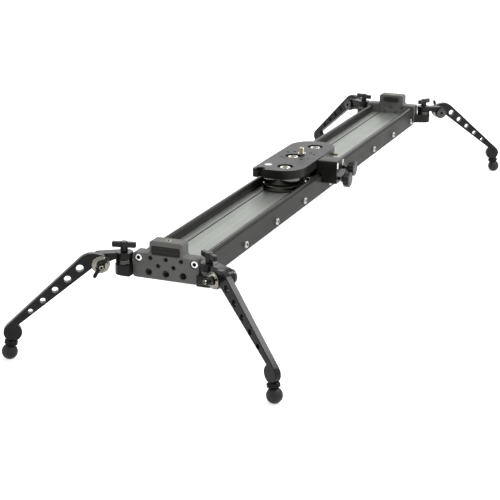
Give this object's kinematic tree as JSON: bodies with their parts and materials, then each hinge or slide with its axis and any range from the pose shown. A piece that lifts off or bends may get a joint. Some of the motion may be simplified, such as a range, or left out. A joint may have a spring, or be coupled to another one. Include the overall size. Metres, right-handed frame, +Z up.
{
  "type": "camera slider",
  "caption": "Camera slider: a plate with a camera screw and a side brake rolls along a long rail with round guide rods, held between end plates on folding legs with rubber ball feet.",
  "frame": {"origin": "on the floor, under the middle of the rail", "axes": "+X along the rail from the near end to the far end, +Y to the rail's left side (the knobs are on the right, -Y), +Z up"},
  "size_m": [1.2316, 0.3838, 0.1635],
  "materials": {
    "silver_anodised": "brushed, clear anodised",
    "dark_anodised": "dark grey anodised",
    "rod_anodised": "dark grey hard anodised",
    "grey_anodised": "grey anodised",
    "black_anodised": "black anodised, satin",
    "stainless_steel": "bright stainless steel",
    "nickel_plate": "nickel plated",
    "zinc_yellow": "yellow passivated steel",
    "stud_black": "black oxide",
    "black_plastic": "moulded black plastic",
    "black_rubber": "matt black rubber"
  },
  "bodies": {
    "rail": {"bed_extrusion": "silver_anodised", "side_rail_left": "dark_anodised", "side_rail_right": "dark_anodised", "guide_rod_left": "rod_anodised", "guide_rod_right": "rod_anodised", "end_plate_near": "grey_anodised", "end_plate_far": "grey_anodised", "bumper_near": "black_rubber", "bumper_far": "black_rubber", "leg_bracket_near_left": "black_anodised", "leg_bracket_near_right": "black_anodised", "leg_bracket_far_left": "black_anodised", "leg_bracket_far_right": "black_anodised", "pivot_spacer_near_left": "nickel_plate", "pivot_spacer_near_right": "nickel_plate", "pivot_spacer_far_left": "nickel_plate", "pivot_spacer_far_right": "nickel_plate"},
    "carriage": {"carriage_body": "black_anodised", "top_plate": "black_anodised", "brake_block": "black_anodised", "brake_pad": "black_plastic"},
    "roller_1": {"roller_1": "stainless_steel"},
    "roller_2": {"roller_2": "stainless_steel"},
    "roller_3": {"roller_3": "stainless_steel"},
    "roller_4": {"roller_4": "stainless_steel"},
    "camera_screw": {"camera_screw": "zinc_yellow"},
    "brake_knob": {"brake_knob": "black_plastic"},
    "clamp_knob": {"clamp_knob": "black_plastic"},
    "swivel_near_left": {"swivel_arm_near_left": "black_anodised", "hinge_bolt_near_left": "stainless_steel"},
    "handle_near_left": {"t_handle_near_left": "black_plastic"},
    "leg_near_left": {"leg_bar_near_left": "black_anodised", "friction_disc_near_left": "nickel_plate"},
    "wing_nut_near_left": {"wing_nut_near_left": "black_anodised"},
    "foot_near_left": {"foot_stud_near_left": "stud_black", "ball_foot_near_left": "black_rubber"},
    "swivel_near_right": {"swivel_arm_near_right": "black_anodised", "hinge_bolt_near_right": "stainless_steel"},
    "handle_near_right": {"t_handle_near_right": "black_plastic"},
    "leg_near_right": {"leg_bar_near_right": "black_anodised", "friction_disc_near_right": "nickel_plate"},
    "wing_nut_near_right": {"wing_nut_near_right": "black_anodised"},
    "foot_near_right": {"foot_stud_near_right": "stud_black", "ball_foot_near_right": "black_rubber"},
    "swivel_far_left": {"swivel_arm_far_left": "black_anodised", "hinge_bolt_far_left": "stainless_steel"},
    "handle_far_left": {"t_handle_far_left": "black_plastic"},
    "leg_far_left": {"leg_bar_far_left": "black_anodised", "friction_disc_far_left": "nickel_plate"},
    "wing_nut_far_left": {"wing_nut_far_left": "black_anodised"},
    "foot_far_left": {"foot_stud_far_left": "stud_black", "ball_foot_far_left": "black_rubber"},
    "swivel_far_right": {"swivel_arm_far_right": "black_anodised", "hinge_bolt_far_right": "stainless_steel"},
    "handle_far_right": {"t_handle_far_right": "black_plastic"},
    "leg_far_right": {"leg_bar_far_right": "black_anodised", "friction_disc_far_right": "nickel_plate"},
    "wing_nut_far_right": {"wing_nut_far_right": "black_anodised"},
    "foot_far_right": {"foot_stud_far_right": "stud_black", "ball_foot_far_right": "black_rubber"}
  },
  "joints": [
    {"name": "carriage_slide", "type": "slide", "parent": "rail", "child": "carriage", "axis": [1, 0, 0], "range_m": [-0.365, 0.416]},
    {"name": "roller_1_spin", "type": "hinge", "parent": "carriage", "child": "roller_1", "pos_m": [-0.0613, 0.02635, 0.12884], "axis": [0, 0, 1], "continuous": true},
    {"name": "roller_2_spin", "type": "hinge", "parent": "carriage", "child": "roller_2", "pos_m": [-0.0613, -0.02635, 0.12884], "axis": [0, 0, 1], "continuous": true},
    {"name": "roller_3_spin", "type": "hinge", "parent": "carriage", "child": "roller_3", "pos_m": [0.0103, 0.02635, 0.12884], "axis": [0, 0, 1], "continuous": true},
    {"name": "roller_4_spin", "type": "hinge", "parent": "carriage", "child": "roller_4", "pos_m": [0.0103, -0.02635, 0.12884], "axis": [0, 0, 1], "continuous": true},
    {"name": "camera_screw_turn", "type": "hinge", "parent": "carriage", "child": "camera_screw", "pos_m": [-0.007, 0, 0.15504], "axis": [0, 0, 1], "continuous": true},
    {"name": "brake_knob_turn", "type": "hinge", "parent": "carriage", "child": "brake_knob", "pos_m": [-0.029, -0.0695, 0.12594], "axis": [0, -1, 0], "continuous": true},
    {"name": "clamp_knob_turn", "type": "hinge", "parent": "carriage", "child": "clamp_knob", "pos_m": [-0.0055, -0.0695, 0.13844], "axis": [0, -1, 0], "continuous": true},
    {"name": "leg_swivel_near_left", "type": "hinge", "parent": "rail", "child": "swivel_near_left", "pos_m": [-0.518, 0.0594, 0.12884], "axis": [0, 0, 1], "range_deg": [-110, 50]},
    {"name": "handle_turn_near_left", "type": "hinge", "parent": "rail", "child": "handle_near_left", "pos_m": [-0.518, 0.0594, 0.12884], "axis": [0, 0, 1], "continuous": true},
    {"name": "leg_tilt_near_left", "type": "hinge", "parent": "swivel_near_left", "child": "leg_near_left", "pos_m": [-0.53446, 0.08626, 0.12284], "axis": [-0.8526, -0.5225, 0], "range_deg": [-40, 48]},
    {"name": "wing_nut_turn_near_left", "type": "hinge", "parent": "swivel_near_left", "child": "wing_nut_near_left", "pos_m": [-0.53446, 0.08626, 0.12284], "axis": [-0.8526, -0.5225, 0], "continuous": true},
    {"name": "foot_height_near_left", "type": "slide", "parent": "leg_near_left", "child": "foot_near_left", "axis": [0.0952, -0.1554, 0.9833], "range_m": [-0.007, 0]},
    {"name": "leg_swivel_near_right", "type": "hinge", "parent": "rail", "child": "swivel_near_right", "pos_m": [-0.518, -0.0594, 0.12884], "axis": [0, 0, 1], "range_deg": [-50, 110]},
    {"name": "handle_turn_near_right", "type": "hinge", "parent": "rail", "child": "handle_near_right", "pos_m": [-0.518, -0.0594, 0.12884], "axis": [0, 0, 1], "continuous": true},
    {"name": "leg_tilt_near_right", "type": "hinge", "parent": "swivel_near_right", "child": "leg_near_right", "pos_m": [-0.53446, -0.08626, 0.12284], "axis": [0.8526, -0.5225, 0], "range_deg": [-40, 48]},
    {"name": "wing_nut_turn_near_right", "type": "hinge", "parent": "swivel_near_right", "child": "wing_nut_near_right", "pos_m": [-0.53446, -0.08626, 0.12284], "axis": [0.8526, -0.5225, 0], "continuous": true},
    {"name": "foot_height_near_right", "type": "slide", "parent": "leg_near_right", "child": "foot_near_right", "axis": [0.0952, 0.1554, 0.9833], "range_m": [-0.007, 0]},
    {"name": "leg_swivel_far_left", "type": "hinge", "parent": "rail", "child": "swivel_far_left", "pos_m": [0.518, 0.0594, 0.12884], "axis": [0, 0, 1], "range_deg": [-50, 110]},
    {"name": "handle_turn_far_left", "type": "hinge", "parent": "rail", "child": "handle_far_left", "pos_m": [0.518, 0.0594, 0.12884], "axis": [0, 0, 1], "continuous": true},
    {"name": "leg_tilt_far_left", "type": "hinge", "parent": "swivel_far_left", "child": "leg_far_left", "pos_m": [0.53446, 0.08626, 0.12284], "axis": [-0.8526, 0.5225, 0], "range_deg": [-40, 48]},
    {"name": "wing_nut_turn_far_left", "type": "hinge", "parent": "swivel_far_left", "child": "wing_nut_far_left", "pos_m": [0.53446, 0.08626, 0.12284], "axis": [-0.8526, 0.5225, 0], "continuous": true},
    {"name": "foot_height_far_left", "type": "slide", "parent": "leg_far_left", "child": "foot_far_left", "axis": [-0.0952, -0.1554, 0.9833], "range_m": [-0.007, 0]},
    {"name": "leg_swivel_far_right", "type": "hinge", "parent": "rail", "child": "swivel_far_right", "pos_m": [0.518, -0.0594, 0.12884], "axis": [0, 0, 1], "range_deg": [-110, 50]},
    {"name": "handle_turn_far_right", "type": "hinge", "parent": "rail", "child": "handle_far_right", "pos_m": [0.518, -0.0594, 0.12884], "axis": [0, 0, 1], "continuous": true},
    {"name": "leg_tilt_far_right", "type": "hinge", "parent": "swivel_far_right", "child": "leg_far_right", "pos_m": [0.53446, -0.08626, 0.12284], "axis": [0.8526, 0.5225, 0], "range_deg": [-40, 48]},
    {"name": "wing_nut_turn_far_right", "type": "hinge", "parent": "swivel_far_right", "child": "wing_nut_far_right", "pos_m": [0.53446, -0.08626, 0.12284], "axis": [0.8526, 0.5225, 0], "continuous": true},
    {"name": "foot_height_far_right", "type": "slide", "parent": "leg_far_right", "child": "foot_far_right", "axis": [-0.0952, 0.1554, 0.9833], "range_m": [-0.007, 0]}
  ],
  "couplings": [
    {"joint": "roller_1_spin", "follows": "carriage_slide", "rad_per_m": 117.65},
    {"joint": "roller_2_spin", "follows": "carriage_slide", "rad_per_m": -117.65},
    {"joint": "roller_3_spin", "follows": "carriage_slide", "rad_per_m": 117.65},
    {"joint": "roller_4_spin", "follows": "carriage_slide", "rad_per_m": -117.65}
  ]
}
